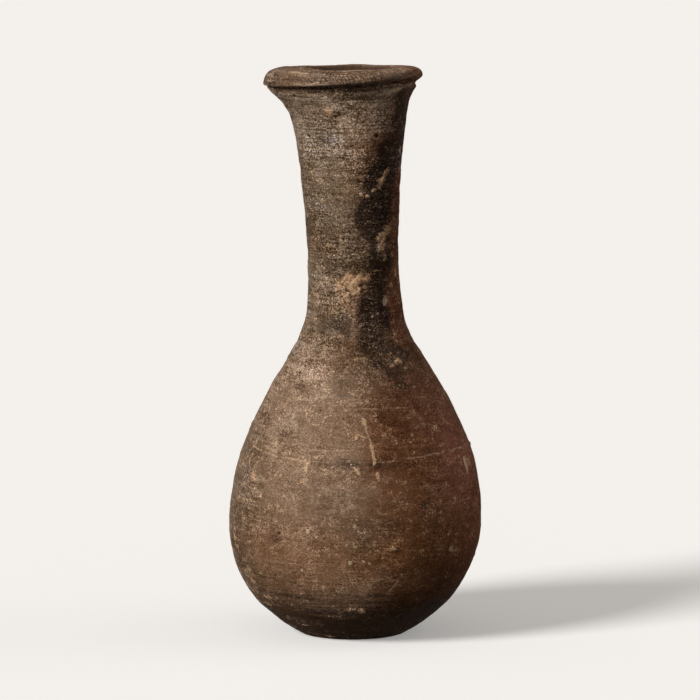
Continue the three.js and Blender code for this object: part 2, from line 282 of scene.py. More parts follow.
# Spots of each kind: angle, height, length, width, turn from level, and strength
SPOTS = {
    "crust": [
        (-4, 88.4, 6.6, 4.2, 6, 1.2), (11, 89.3, 4.4, 3, -4, 1.2), (-16, 87.6, 3.6, 2.6, 12, 1.1),
        (-8, 85, 2, 3.4, 20, 0.8), (-12, 82.6, 1.2, 3, 30, 0.6), (4, 86.2, 4.4, 1.6, 30, 0.9),
        (43.5, 115.1, 3.2, 1.3, 60, 1.1), (38, 113.1, 2.8, 2, 50, 1.1), (27, 111, 1.3, 0.9, 30, 0.9),
        (20, 109.7, 2.2, 1.3, 0, 1.1), (12, 110.3, 1.6, 0.7, 0, 0.7), (27, 108.7, 1.2, 0.7, 0, 0.6),
        (49, 100.6, 3.4, 2, 60, 1), (38, 99.4, 4.2, 2.2, 20, 1.1), (37, 96.9, 3.4, 2.6, 60, 1.1),
        (42, 94.6, 1.6, 2.8, 10, 1), (58, 94.5, 1, 1.6, 0, 0.5), (66, 90, 1.6, 3, 10, 0.6),
        (30, 91.2, 3.4, 0.6, 0, 0.7), (54, 87.2, 1.6, 2.4, 10, 0.8), (50, 81, 0.9, 1.6, -10, 0.7),
        (50, 78.3, 1, 2, -10, 1), (47, 75.5, 0.9, 2, 5, 0.9), (34, 71, 2.4, 1.5, 30, 1.1),
        (40, 69.3, 2.2, 1.4, -20, 1.1), (44, 67.5, 1.6, 1.2, 0, 1), (32, 68.4, 1.4, 1, 0, 0.9),
        (16, 75.4, 2.4, 0.6, 0, 0.7), (4, 70.3, 3, 0.7, 0, 0.6), (-12, 72.6, 2, 1.2, 20, 0.5),
        (-14, 100, 1.4, 1, 0, 0.8), (-17, 104.4, 1, 2.2, -10, 0.6), (-52, 96, 4.5, 0.7, -50, 0.6),
        (-44, 92.6, 4.5, 0.7, -55, 0.6), (-62, 87, 1, 6, 10, 0.5), (-54, 84, 1.2, 5, -15, 0.5),
        (-15, 129.6, 4, 3.2, 10, 1.1), (-40, 124, 1.2, 1, 0, 0.4), (0.6, 52.6, 1.8, 1.5, 0, 1),
        (-65, 43.5, 2, 4.4, 0, 0.6), (-58, 40.5, 2, 4, 10, 0.7), (-62, 35, 3, 2, 0, 0.5),
        (-52, 37, 4, 1.6, 20, 0.35), (-25, 44.8, 1.2, 4.6, -10, 0.6), (-27, 41.8, 2.6, 2.4, 0, 0.5),
        (-47, 33.4, 2.4, 1.2, 20, 0.4), (-72, 26, 3, 6, 0, 0.6), (-64, 20.5, 2.4, 4, 0, 0.55),
        (-60, 15.6, 3, 2.6, 0, 0.5), (-54, 11.2, 4.6, 1.6, -10, 0.6), (-48, 9.6, 2.4, 1.2, 0, 0.4),
        (-1, 9.6, 2.6, 1.6, 10, 1.1), (5, 9.3, 1.8, 2, 40, 1.1), (17, 25.8, 2.6, 1.8, 0, 1),
        (-18, 28.3, 2.4, 1.2, 0, 0.5), (3, 28, 3, 1.4, 0, 0.35), (-37, 4.2, 1.6, 1, 0, 0.7),
        (-18, 0.9, 6, 0.8, 0, 0.7), (-4, 0.9, 3, 0.7, 0, 0.5),
    ],
    "trail": [
        # The first four trails run along the fold's ridge as a painted highlight
        (25, 131, 3.6, 1, 26, 0.85), (36, 132.4, 3.6, 1, 26, 0.95), (50, 133.6, 3.6, 1, 18, 0.95),
        (64, 134.5, 3.2, 1, 12, 0.8), (4.2, 56, 2.4, 1.1, -66, 1.1), (7.4, 50.6, 3, 1.1, -78, 1.2),
        (8.8, 47.4, 2.4, 1.2, -74, 1.2), (10.2, 43.4, 2.6, 1, -80, 1.2), (-0.2, 44.8, 2.6, 0.9, -50, 1),
    ],
    "chip": [
        (41, 83.8, 1, 2.3, -20, 1.8), (72, 120, 1.4, 3, 20, 0.9), (50, 53.7, 2, 0.8, 0, 0.8),
        (67.5, 43.5, 1.3, 3.4, 0, 1.8), (63, 44.2, 0.5, 2.6, 0, 0.8), (50, 24, 2, 2, 0, 1.1),
        (54, 22, 0.8, 0.8, 0, 0.8), (-4, 46.9, 1.6, 0.6, 0, 0.5),
    ],
    "grit": [
        (-0.4, 31.4, 1, 1, 0, 1.3), (-2, 22.3, 0.9, 1, 0, 1.3), (7, 22.1, 1.2, 0.6, -45, 0.8),
        (20, 18.8, 0.6, 0.6, 0, 0.8), (23, 18.8, 0.8, 0.8, 0, 1), (42, 33.5, 0.9, 0.9, 0, 0.8),
        (31, 46.3, 1.2, 0.5, -45, 0.8), (32, 52.4, 0.6, 0.9, -30, 0.7), (19, 54, 1.2, 0.5, 30, 0.8),
        (-22, 29.8, 1.2, 1.3, 0, 0.75), (-25, 19.9, 0.7, 0.6, 0, 0.9), (-21, 22.4, 0.5, 1.8, -10, 0.6),
        (-15, 99, 0.8, 0.8, 0, 1), (-33, 97.8, 0.6, 0.6, 0, 0.9), (-10, 102.2, 0.7, 0.5, 0, 0.8),
        (-39, 96.9, 0.6, 0.6, 0, 0.8), (21, 80.1, 0.8, 0.6, 0, 1), (27, 79.5, 0.7, 0.5, 0, 0.9),
        (-13, 72.2, 0.6, 0.6, 0, 0.8), (45, 63.1, 0.8, 0.8, 0, 0.8), (-8, 9.6, 0.9, 0.6, 0, 0.7),
    ],
    "pit": [
        (-12, 129, 1.6, 1, 0, 0.8), (-48, 124.2, 1.5, 0.7, -20, 1), (29, 124.4, 1.1, 1.1, 0, 1),
        (-7, 129.3, 1.4, 0.6, -20, 1), (-17, 133.4, 1.2, 0.6, -10, 0.9), (-44, 133.6, 1.3, 0.7, 30, 0.9),
        (-38, 133, 0.8, 0.5, 0, 0.8), (33, 133.7, 0.8, 0.8, 0, 0.8), (19, 134.2, 0.8, 0.6, 0, 0.8),
        (3, 122, 1.6, 0.7, 30, 0.8), (-48, 69, 0.8, 0.7, 0, 1), (-43, 68.5, 0.6, 0.6, 0, 1),
        (-50, 66.3, 0.8, 0.8, 0, 1), (20, 18, 1.2, 0.8, 0, 0.9), (-37, 28.6, 1.4, 1.2, 0, 1),
        (-41, 17.6, 0.6, 2.4, -20, 0.7), (-30, 16.2, 1.2, 0.6, 0, 0.8), (-15, 33, 0.8, 0.8, 0, 0.7),
        (52, 98.6, 1.4, 1.6, 0, 0.7), (33, 36, 0.9, 1.6, 0, 0.5), (-16, 74, 1, 0.7, 0, 0.8),
        (-40, 76, 1.2, 0.8, 0, 0.6),
    ],
    "stain": [
        (-44, 63.1, 4.4, 3.2, 0, 0.9), (-38, 27.5, 3.4, 2.6, -40, 0.8), (-28, 91, 2.2, 2.6, 0, 0.6),
        (-30, 86.6, 2.2, 3.6, 0, 0.8), (-20, 3.4, 4.5, 1.6, 0, 0.8), (0, 121, 5, 3, 0, 0.4),
        (-52, 130, 3, 2, 0, 0.4), (34, 66, 3, 6, 0, 0.6), (39, 63.6, 1.6, 2.6, 0, 0.7),
        (10, 72, 5, 2, 0, 0.4), (-14, 70, 2, 2, 0, 0.4), (6, 22, 4, 3, 0, 0.3), (-66, 37, 2, 3, 0, 0.5),
        (-15, 35.6, 3.6, 1.3, 10, 0.45), (-44, 52.4, 4.6, 2.2, 10, 0.6), (-17, 46.4, 5, 2.2, 0, 0.6),
    ],
}

# Lines of each kind: angle and height of both ends, width and strength
LINES = {
    # Scratches from 21 to 76 degrees between 130.5 and 134.6 mm, along the fold's ridge, are a painted
    # highlight
    "scratch": [
        (3, 57.6, 8.6, 50.2, 0.35, 1), (-26, 46.8, -25, 40, 0.7, 0.7), (-67, 48.1, -56, 47.5, 0.35, 1.4),
        (-56, 47.5, -42, 46.9, 0.35, 1.3), (-42, 46.9, -24, 46.8, 0.3, 1.1),
        (-58, 49, -43, 48.1, 0.35, 1), (-43, 48.1, -32, 47.7, 0.35, 0.9),
        (-62, 45.9, -40, 45.6, 0.3, 0.6), (-64, 50.2, -40, 49.4, 0.3, 0.5),
        (-30, 46.6, -12, 46.4, 0.3, 0.8), (11, 46.6, 20, 46.9, 0.4, 1.2), (24, 47, 40, 47.3, 0.3, 1),
        (38, 47.3, 52, 48, 0.35, 1.5), (54, 47.5, 72, 47.6, 0.35, 1.5), (-31, 49, 1, 49.5, 0.3, 0.7),
        (-66, 54.4, -44, 51.6, 0.25, 0.5), (-62, 56.8, -40, 54, 0.25, 0.4),
        (-58, 52.4, -38, 50.6, 0.25, 0.5), (-31, 61.2, -15, 61.5, 0.4, 0.8),
        (-7, 61.2, 10, 61.1, 0.35, 0.6), (-7, 59, 21, 58.9, 0.3, 0.7), (18, 58.9, 38, 58.8, 0.35, 0.6),
        (-2, 70.2, 10, 70.2, 0.6, 0.9), (-40, 64.5, -18, 64.4, 0.3, 0.4), (36, 58, 40, 56.6, 0.4, 0.7),
        (40, 56.6, 43, 54.4, 0.4, 0.6), (44, 54.6, 50, 53.8, 0.4, 0.6), (22.5, 17.5, 16, 14, 0.4, 1.6),
        (8, 29.7, 24, 29.2, 0.3, 0.7), (11, 29.2, 17, 29, 0.3, 0.6), (21, 130.5, 39, 132.7, 0.6, 1.3),
        (39, 132.7, 56, 133.9, 0.6, 1.2), (34, 128, 36, 131, 0.4, 0.8), (45, 125.5, 57, 125.4, 0.4, 0.9),
        (38, 133, 47, 134.4, 0.3, 0.6), (20, 91.5, 36, 91.2, 0.3, 0.7), (-9, 103.2, 2, 103.1, 0.3, 0.8),
        (-60, 96, -42, 88, 0.3, 0.5), (-46, 97.5, -36, 91, 0.28, 0.5), (-52, 92.5, -62, 96.5, 0.28, 0.5),
        (60, 40, 40, 20.5, 0.3, 0.35), (46, 69.5, 60, 66, 0.3, 0.4), (38, 133.1, 54, 134.2, 0.7, 1.4),
        (52, 134.1, 76, 134.6, 0.6, 1.2), (-3, 143.1, 24, 143.2, 1.1, 1.6),
        (22, 142.2, 42, 142, 0.9, 1.2), (-48, 140.6, -26, 140.8, 0.7, 1.2),
        (-40, 137.9, -8, 138, 0.6, 0.9),
    ],
    "groove": [
        (-60, 16.8, -30, 16.4, 0.8, 0.55), (-34, 15.9, -20, 15.6, 0.6, 0.45),
        (-48, 12.6, -14, 12, 0.8, 0.6), (-26, 11.4, 30, 11.5, 0.7, 0.6), (0, 13.2, 52, 13.4, 0.9, 0.65),
        (-43, 8.9, -6, 8.2, 1, 1), (-8, 8, 36, 8.4, 1, 1), (-30, 6.4, 10, 6, 0.8, 0.9),
        (24, 14.2, 36, 12.8, 0.7, 0.6), (36, 13, 52, 13.6, 0.4, 0.6), (20, 22.2, 48, 22.4, 0.3, 0.7),
        (21, 61.2, 33, 61, 0.35, 0.7), (16, 54.9, 34, 54.5, 0.35, 0.7), (12, 49.6, 30, 49, 0.3, 0.5),
        # Painted shadow: these grooves below the rolled edge, and the one under the fold's ridge, darken
        # the undercut and the hollow where shade falls
        (-66, 136.5, -34, 136.3, 0.8, 1), (-36, 136.2, 8, 136.3, 1, 1), (0, 136.1, 46, 136.2, 1.3, 1),
        (42, 136.4, 60, 136.6, 0.9, 1), (-30, 134.4, 40, 134.5, 0.8, 0.8), (44, 131.6, 62, 133.2, 1.1, 1),
        (-50, 138.9, -12, 138.7, 0.4, 0.7), (-20, 137.6, 20, 137.5, 0.3, 0.5),
        (46, 139, 66, 139.2, 0.5, 0.9), (-38, 141.4, 18, 141.4, 0.8, 0.7),
        (-6, 132.6, 60, 132.2, 0.4, 0.5), (20, 119.5, 62, 119.3, 0.3, 0.6),
        (24, 105.5, 60, 105.3, 0.3, 0.6), (-20, 94.5, 50, 94.2, 0.3, 0.5), (0, 81.6, 50, 81.2, 0.3, 0.6),
        (-10, 76.8, 46, 76.6, 0.3, 0.6),
    ],
}

# Relief of spots, outwards, and the layer of colour that they belong to
SPOT_KINDS = {
    "crust": (0.26, "crust"), "trail": (0.12, "trail"), "chip": (-0.12, "pale"),
    "grit": (0.14, "pale"), "pit": (-0.40, "dark"), "stain": (0.0, "stain"),
}
# How ragged the edge of a spot is, where it fades out in shares of its half size, and how lumpy it is
SPOT_RAGGED = 0.6
SPOT_FADE = (0.2, 1.5)
SPOT_LUMPS = 0.5
# Relief of lines, outwards
LINE_KINDS = {"scratch": -0.05, "groove": -0.16}
# Where a line's colour fades out beside it, and over what length it fades at its ends
LINE_FADE = (0.8, 1.3)
LINE_ENDS = 1.5
# How soft the edges of the bands of each kind are, in degrees
BAND_EDGES = {"soot_and_painted_shade": 8, "redness_and_painted_warm_shade": 13, "dusk": 18, "shade": 16}
# How far noise drifts the edges of bands and tones: round the flask, broadly and finely, in radians
TURN_DRIFT = 0.13
FINE_TURN_DRIFT = 0.05
# How far noise drifts them up or down
BAND_DRIFT = 1.5
TONE_DRIFT = 0.8
# How patchy noise makes bands and areas
PATCHINESS = 0.45
# How thin lines wander from their straight course: distance, size and seed
WANDER = [(0.25, 3.0, 60), (0.16, 1.1, 61)]


def spline(knots, steps=80):
    """Points of the smooth curve through the knots."""
    knots = np.array(knots, float)
    padded = np.vstack([knots[:1], knots, knots[-1:]])
    share = np.linspace(0, 1, steps, endpoint=False)[:, None]
    stretches = []
    for before, start, end, after in zip(padded, padded[1:], padded[2:], padded[3:]):
        leave = (end - before) / 2
        arrive = (after - start) / 2
        bend = (2 * start - 2 * end + leave + arrive) * share**3
        swing = (3 * end - 3 * start - 2 * leave - arrive) * share**2
        stretches.append(bend + swing + leave * share + start)
    return np.vstack([*stretches, knots[-1:]])


OUTER_CURVE = spline(OUTLINE)
LEAN_CURVE = spline(LEAN)


def outer_radius(height):
    """The radius of the outer face below the lip."""
    return np.interp(height, OUTER_CURVE[:, 1], OUTER_CURVE[:, 0])


def outer_slope(height):
    """How fast the outer face widens with height."""
    span = 1.0
    above = np.minimum(height + span / 2, LIP_JOINT)
    return (outer_radius(above) - outer_radius(above - span)) / span


def inner_radius(height):
    """The radius of the bore. The wall keeps its thickness square to the outer face."""
    return outer_radius(height) - WALL * np.hypot(1, outer_slope(height))


def smooth_step(value, low, high):
    """A number from 0 to 1 that rises smoothly between low and high."""
    share = np.clip((value - low) / (high - low), 0, 1)
    return share * share * (3 - 2 * share)


def plateau(value, rise, fall):
    """A number that rises from 0 to 1 over the range rise, and falls back to 0 over the range fall."""
    return smooth_step(value, *rise) * (1 - smooth_step(value, *fall))


def hump(value, half_width):
    """A soft hump of height 1 round a value of 0."""
    return np.exp(-((value / half_width) ** 2))


def follow(table, value):
    """What a table of pairs gives for a value."""
    places, numbers = np.array(table, float).T
    return np.interp(value, places, numbers)


def turn_gap(angle, other):
    """The way round from one angle to another, between half a turn back and half a turn on."""
    return (angle - other + math.pi) % (2 * math.pi) - math.pi


def in_degrees(angle):
    """The angle in degrees, from -180 to 180."""
    return np.degrees(turn_gap(angle, 0))


# Noise, the same on every run

# Large odd numbers that mix up the place of a cell, so that its value looks random
MIX_PLACE = np.array([374761393, 668265263, 2147483647])
MIX_SEED = 7919
MIX_AGAIN = 1274126177
# How far apart the noises of two seeds are taken
SEED_SHIFT = 11.37


def cell_value(cells, seed):
    """A number from -1 to 1 for each cell of a lattice."""
    mixed = (cells * MIX_PLACE).sum(axis=1) + seed * MIX_SEED
    mixed = (mixed ^ (mixed >> 13)) * MIX_AGAIN
    return ((mixed ^ (mixed >> 16)) & 0xFFFF) / 0x7FFF - 1


def noise(points, cell, seed):
    """Smooth noise from -1 to 1, with features about one cell wide."""
    place = points / np.array(cell, float) + seed * SEED_SHIFT
    base = np.floor(place).astype(np.int64)
    part = place - base
    part = part * part * (3 - 2 * part)
    total = np.zeros(len(points))
    for corner in range(8):
        step = np.array([corner & 1, corner >> 1 & 1, corner >> 2 & 1])
        weight = np.prod(np.where(step, part, 1 - part), axis=1)
        total += weight * cell_value(base + step, seed)
    return total


def noise_sum(points, table):
    """The sum of the noises in a table, whose rows give the strength, the cell and the seed."""
    return sum(strength * noise(points, cell, seed) for strength, cell, seed in table)


def layered(points, cell, seed, layers=3):
    """Noise with finer and weaker noise laid over it."""
    total = sum(noise(points, cell / 2**layer, seed + layer) / 2**layer for layer in range(layers))
    return total / (2 - 0.5 ** (layers - 1))


# Wear and marks on the outer face

def unseen_spots(count=170, seed=5):
    """Spots scattered over the sides and the back, which the photo doesn't show."""
    rng = np.random.default_rng(seed)
    spots = []
    for _ in range(count):
        kind = str(rng.choice(["crust", "pit", "grit", "stain", "chip"], p=[0.42, 0.22, 0.2, 0.1, 0.06]))
        size = rng.uniform(0.6, 1.2) if kind in ("pit", "grit") else rng.uniform(0.8, 3.4)
        stretch = rng.uniform(0.4, 0.9)
        angle = rng.uniform(82, 278)
        height = rng.uniform(2, 133)
        spots.append((kind, angle, height, size, size * stretch, rng.uniform(-70, 70), rng.uniform(0.4, 1)))
    return spots


def unseen_lines(count=40, seed=8):
    """Fine level lines on the sides and the back, left by turning."""
    rng = np.random.default_rng(seed)
    lines = []
    for index in range(count):
        kind = "groove" if index % 2 else "scratch"
        angle = rng.uniform(75, 270)
        height = rng.uniform(6, 130)
        reach = rng.uniform(10, 50)
        slant = rng.uniform(-0.4, 0.4)
        lines.append((kind, angle, height, angle + reach, height + slant, 0.35, rng.uniform(0.4, 0.9)))
    return lines


def band_cover(angle, height, kind):
    """How strongly the uneven bands of one kind cover each point."""
    degrees = in_degrees(angle)
    cover = np.zeros(len(angle))
    for rows in BANDS.get(kind, []):
        soft = BAND_EDGES[kind]
        heights, left, right, strength = np.array(rows, float).T
        left = np.interp(height, heights, left)
        right = np.interp(height, heights, right)
        inside = plateau(degrees, (left - soft, left + soft), (right - soft, right + soft))
        cover = np.maximum(cover, inside * np.interp(height, heights, strength))
    return cover


def soft_area(angle, height, around, centre, half_width, half_height):
    """A soft area of height 1 round a place on the face."""
    across = turn_gap(angle, math.radians(around)) * outer_radius(centre) / half_width
    upwards = (height - centre) / half_height
    return np.exp(-(across**2 + upwards**2))


def area_cover(angle, height, kind):
    """How strongly the wide areas of one kind cover each point."""
    cover = np.zeros(len(angle))
    for *area, strength in AREAS.get(kind, []):
        cover = np.maximum(cover, strength * soft_area(angle, height, *area))
    return cover


def tone_sum(angle, height):
    """How much lighter than its clay each point is, in stops: fired tones, and painted light and shade."""
    return sum(stops * soft_area(angle, height, *area) for *area, stops in FIRING_TONES_AND_PAINTED_LIGHT)


def listed(table):
    """The rows of a table that is grouped by kind, each with its kind in front."""
    return [(kind, *row) for kind, rows in table.items() for row in rows]


def add_spots(angle, height, points, relief, layers):
    """Lays the spots on the face: their relief, and how strongly they colour it."""
    ragged = layered(points, cell=1.6, seed=50) + 0.6 * layered(points, cell=0.8, seed=57)
    lumps = noise(points, cell=0.8, seed=55)
    for kind, around, centre, length, width, turn, strength in listed(SPOTS) + unseen_spots():
        reach = max(length, width)
        near = np.flatnonzero(np.abs(height - centre) < reach)
        across = turn_gap(angle[near], math.radians(around)) * outer_radius(centre)
        within = np.abs(across) < reach
        near, across = near[within], across[within]
        upwards = (height[near] - centre) * math.hypot(1, outer_slope(centre))
        lean = math.radians(turn)
        along = (across * math.cos(lean) + upwards * math.sin(lean)) / (length / 2)
        beside = (upwards * math.cos(lean) - across * math.sin(lean)) / (width / 2)
        edge = np.hypot(along, beside) + SPOT_RAGGED * ragged[near]
        cover = strength * (1 - smooth_step(edge, *SPOT_FADE))
        depth, layer = SPOT_KINDS[kind]
        relief[near] += depth * cover * (1 + SPOT_LUMPS * lumps[near])
        layers[layer][near] = np.maximum(layers[layer][near], cover)


def add_lines(angle, height, points, relief, layers):
    """Lays thin lines on the face. Their distance is kept too, so the shader draws them sharply."""
    wander = noise_sum(points, WANDER)
    for kind, *ends_of_line, width, strength in listed(LINES) + unseen_lines():
        first_angle, first_height, last_angle, last_height = ends_of_line
        middle = (first_height + last_height) / 2
        radius = outer_radius(middle)
        stretch = math.hypot(1, outer_slope(middle))
        run = math.radians(last_angle - first_angle) * radius
        climb = (last_height - first_height) * stretch
        length = math.hypot(run, climb)
        across = turn_gap(angle, math.radians(first_angle)) * radius
        upwards = (height - first_height) * stretch
        along = (across * run + upwards * climb) / length
        beside = (upwards * run - across * climb) / length + wander
        fade = min(LINE_ENDS, length / 5)
        ends = plateau(along, (0, fade), (length - fade, length))
        cover = strength * ends * (1 - smooth_step(np.abs(beside), *LINE_FADE))
        relief += LINE_KINDS[kind] * strength * ends * hump(beside, width)
        wins = cover > layers[kind]
        layers[kind] = np.where(wins, cover, layers[kind])
        layers[kind + "_gap"] = np.where(wins, beside / width, layers[kind + "_gap"])


def lip_fold(angle, height):
    """How far out the fold of clay on the right pushes the flare, with the hollow above its ridge."""
    around, ridge_height, width, ridge, hollow = np.array(FOLD, float).T
    degrees = in_degrees(angle)
    above_ridge = height - np.interp(degrees, around, ridge_height)
    stands_out = np.interp(degrees, around, ridge) * hump(above_ridge, np.interp(degrees, around, width))
    return stands_out - np.interp(degrees, around, hollow) * hump(above_ridge - HOLLOW_RISE, HOLLOW_WIDTH)


def undercut(angle, height):
    """How far in the undercut below the rolled edge lies, from the left to the fold."""
    degrees = in_degrees(angle)
    deep = plateau(degrees, UNDERCUT_START, UNDERCUT_END)
    return UNDERCUT_DEPTH * deep * hump(height - LIP_JOINT, UNDERCUT_WIDTH)


def wheel_rings(points, height):
    """Ridges left by the fingers and the turning tool, almost level round the flask."""
    # Drawn in close to the axis, points find noise that changes little round the flask
    narrowed = points[:, :2] / (1 + np.hypot(points[:, 0], points[:, 1]))[:, None]
    rounded = np.column_stack([narrowed, height])
    return sum(depth * noise(rounded, (reach, reach, rise), seed) for depth, reach, rise, seed in RINGS)


def coarseness(angle, height):
    """How sandy the face is, from 0 to 1."""
    everywhere = 0.25
    more_on_neck = 0.75 * smooth_step(height, 60, 76)
    less_on_lip = 0.6 * smooth_step(height, LIP_JOINT, LIP_JOINT + 2)
    more_at_left = 0.45 * hump(turn_gap(angle, math.radians(-72)), half_width=0.35)
    less_in_front = 0.25 * hump(turn_gap(angle, 0), half_width=0.4) * hump(height - 37, half_width=12)
    return np.clip(everywhere + more_on_neck - less_on_lip + more_at_left - less_in_front, 0, 1)


def skin(angle, height, points):
    """Relief of the outer face in millimetres, and the layers of colour on it."""
    ragged = layered(points, cell=4.0, seed=30)
    shifted = angle + TURN_DRIFT * ragged + FINE_TURN_DRIFT * noise(points, cell=1.3, seed=36)
    layers = {}
    for kind in {**BANDS, **AREAS}:
        bands = band_cover(shifted, height + BAND_DRIFT * ragged, kind)
        cover = np.maximum(area_cover(angle, height, kind), bands)
        layers[kind] = np.clip(cover * (1 + PATCHINESS * ragged), 0, 1)
    for kind in ("crust", "trail", "pale", "dark", "stain", *LINE_KINDS):
        layers[kind] = np.zeros(len(angle))
    for kind in LINE_KINDS:
        layers[kind + "_gap"] = np.zeros(len(angle))
    coarse = coarseness(angle, height)
    relief = noise_sum(points, SWELLS)
    relief += wheel_rings(points, height)
    for depth, more, size, seed in GRAINS:
        relief += (depth + more * coarse) * noise(points, size, seed)
    add_spots(angle, height, points, relief, layers)
    add_lines(angle, height, points, relief, layers)
    corner = hump(height - LIP_JOINT - CORNER_PLACE, CORNER_WIDTH) * hump(in_degrees(angle), CORNER_REACH)
    relief += CORNER_SWELL * corner
    layers["coarse"] = coarse
    # Tones of firing, with painted light and painted shade among them
    layers["tone_and_painted_light"] = tone_sum(shifted, height + TONE_DRIFT * ragged)
    return relief, layers


# Turned meshes

def settle(angle, radius, height):
    """Where a point of the true turned form lies on the off-true, tilted flask."""
    outside = smooth_step(radius - MOUTH_RADIUS, *OUTSIDE)
    radius = radius + outside * (lip_fold(angle, height) - undercut(angle, height))
    x = radius * np.sin(angle)
    y = -radius * np.cos(angle)
    tilt = smooth_step(height, *TILT_RANGE) * TILT_BACK * y
    outwards = np.clip((radius - MOUTH_RADIUS) / (LIP_RADIUS - MOUTH_RADIUS), 0, 1)
    upwards = np.clip((height - LIP_JOINT) / EDGE_RISE, 0, 1)
    sag = outwards**2 * upwards * EDGE_SAG * np.sin(angle)
    degrees = in_degrees(angle)
    crest = follow(CREST_RISE, degrees) + CREST_WAVE * np.sin(CREST_WAVES * angle)
    crest = crest * smooth_step(height - LIP_JOINT, *CREST_START)
    below_joint = (LIP_JOINT - UNDERCUT_REACH, LIP_JOINT - SLIP)
    above_joint = (LIP_JOINT, LIP_JOINT + WIDEST_RISE)
    joint_rise = plateau(height, below_joint, above_joint) * follow(UNDERCUT_RISE, degrees)
    lean = np.interp(height, LEAN_CURVE[:, 1], LEAN_CURVE[:, 0])
    return np.stack([x + lean, y, height + tilt + sag + crest + joint_rise], axis=-1)


class Section:
    """Rows of a turned section: place, way outwards, height on the face, shares of bore and relief."""

    def __init__(self):
        self.rows = []
        self.sharp = []

    def add(self, radius, height, out=(0.0, 0.0), face=None, bore=0.0, relief=1.0):
        self.rows.append((radius, height, *out, height if face is None else face, bore, relief))

    def crease(self, row=-1):
        """Makes a row, or else the last one, a sharp edge."""
        self.sharp.append(row % len(self.rows))


def wall_heights(foot, head, spacing, samples=600):
    """Heights that are evenly spaced along the outer face."""
    heights = np.linspace(foot, head, samples)
    steps = np.hypot(np.diff(outer_radius(heights)), np.diff(heights))
    along = np.concatenate([[0], np.cumsum(steps)])
    count = max(1, round(along[-1] / spacing))
    return np.interp(np.linspace(0, along[-1], count + 1), along, heights)


def add_outer(section, foot, head):
    """The outer face, whose relief fades out where it meets the lip."""
    for height in wall_heights(foot, head, ROW):
        slope = outer_slope(height)
        length = math.hypot(1, slope)
        fade = 1 - smooth_step(height, LIP_JOINT - WALL_FADE, LIP_JOINT - SLIP)
        section.add(outer_radius(height), height, (1 / length, -slope / length), relief=fade)


def add_bore(section, head, foot):
    """The inner face, from the top down."""
    for height in wall_heights(foot, head, BORE_ROW)[::-1]:
        section.add(inner_radius(height), height, (-1, 0), bore=1)


def wall_section(foot, head):
    """A wall between two joints. Each of its four corners is sharp."""
    section = Section()
    add_outer(section, foot, head)
    section.crease(0)
    section.crease()
    bore_start = len(section.rows)
    add_bore(section, head - BEVEL, foot - BEVEL)
    section.crease(bore_start)
    section.crease()
    return section


def turned_mesh(name, section, count, closed=True):
    """Turns a section round the axis, with the relief and the layers of colour of the outer face."""
    rows = len(section.rows)
    turn = np.linspace(-math.pi, math.pi, count, endpoint=False)
    angle = np.tile(turn, rows)
    columns = np.repeat(np.array(section.rows, float).T, count, axis=1)
    radius, height, out_r, out_z, face, bore, amount = columns
    points = np.column_stack([radius * np.sin(angle), -radius * np.cos(angle), height])
    relief, layers = skin(angle, face, points)
    inside = BORE_RINGS * wheel_rings(points, height * BORE_STRETCH)
    push = (relief * (1 - bore) + inside * bore) * amount
    places = settle(angle, radius + push * out_r, height + push * out_z) * MM
    layers["bore"] = bore
    mesh = ring_mesh(name, places, rows, count, closed)
    mark_sharp(mesh, section.sharp, rows, count)
    for kind, values in layers.items():
        layer = mesh.attributes.new(kind, "FLOAT", "POINT")
        filled = np.zeros(len(mesh.vertices), np.float32)
        filled[: rows * count] = values if kind == "bore" else values * (1 - bore)
        layer.data.foreach_set("value", filled)
    return mesh


def ring_mesh(name, places, rows, count, closed):
    """A mesh of rings of points. A section that isn't closed ends at the axis at both ends."""
    grid = np.arange(rows * count).reshape(rows, count)
    around = np.roll(grid, -1, axis=1)
    quads = np.stack([grid, around, np.roll(around, -1, axis=0), np.roll(grid, -1, axis=0)], axis=-1)
    faces = quads[: rows if closed else rows - 1].reshape(-1, 4).tolist()
    points = places.tolist()
    if not closed:
        for ring, flip in ((grid[0].tolist(), True), (grid[-1].tolist(), False)):
            points.append(places[ring].mean(axis=0).tolist())
            ahead = ring[1:] + ring[:1]
            pairs = zip(ahead, ring) if flip else zip(ring, ahead)
            faces.extend([start, end, len(points) - 1] for start, end in pairs)
    mesh = bpy.data.meshes.new(name)
    mesh.from_pydata(points, [], faces)
    mesh.polygons.foreach_set("use_smooth", np.ones(len(mesh.polygons), bool))
    mesh.update()
    return mesh


def mark_sharp(mesh, sharp_rows, rows, count):
    """Marks the rings of edges along the section's corners as sharp."""
    ends = np.zeros(len(mesh.edges) * 2, np.int32)
    mesh.edges.foreach_get("vertices", ends)
    ends = ends.reshape(-1, 2)
    row = ends // count
    level = (row[:, 0] == row[:, 1]) & (ends.max(axis=1) < rows * count)
    layer = mesh.attributes.new("sharp_edge", "BOOLEAN", "EDGE")
    layer.data.foreach_set("value", level & np.isin(row[:, 0], sharp_rows))


def new_object(name, data):
    """An object of the scene that shows a mesh, or is a light or a camera."""
    made = bpy.data.objects.new(name, data)
    bpy.context.scene.collection.objects.link(made)
    return made


def piece(name, mesh, material, node):
    """A piece of the flask that stands for a CAD node."""
    made = new_object(name, mesh)
    mesh.materials.append(material)
    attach(made, "root")
    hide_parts(node)


# Members of the flask

# Where each ring of slip starts and ends
BASE_SLIP, BELLY_SLIP, NECK_SLIP = (
    (joint - SLIP / 2, joint + SLIP / 2) for joint in (BASE_JOINT, BELLY_JOINT, NECK_JOINT)
)
LIP_SLIP = (LIP_JOINT - SLIP, LIP_JOINT)


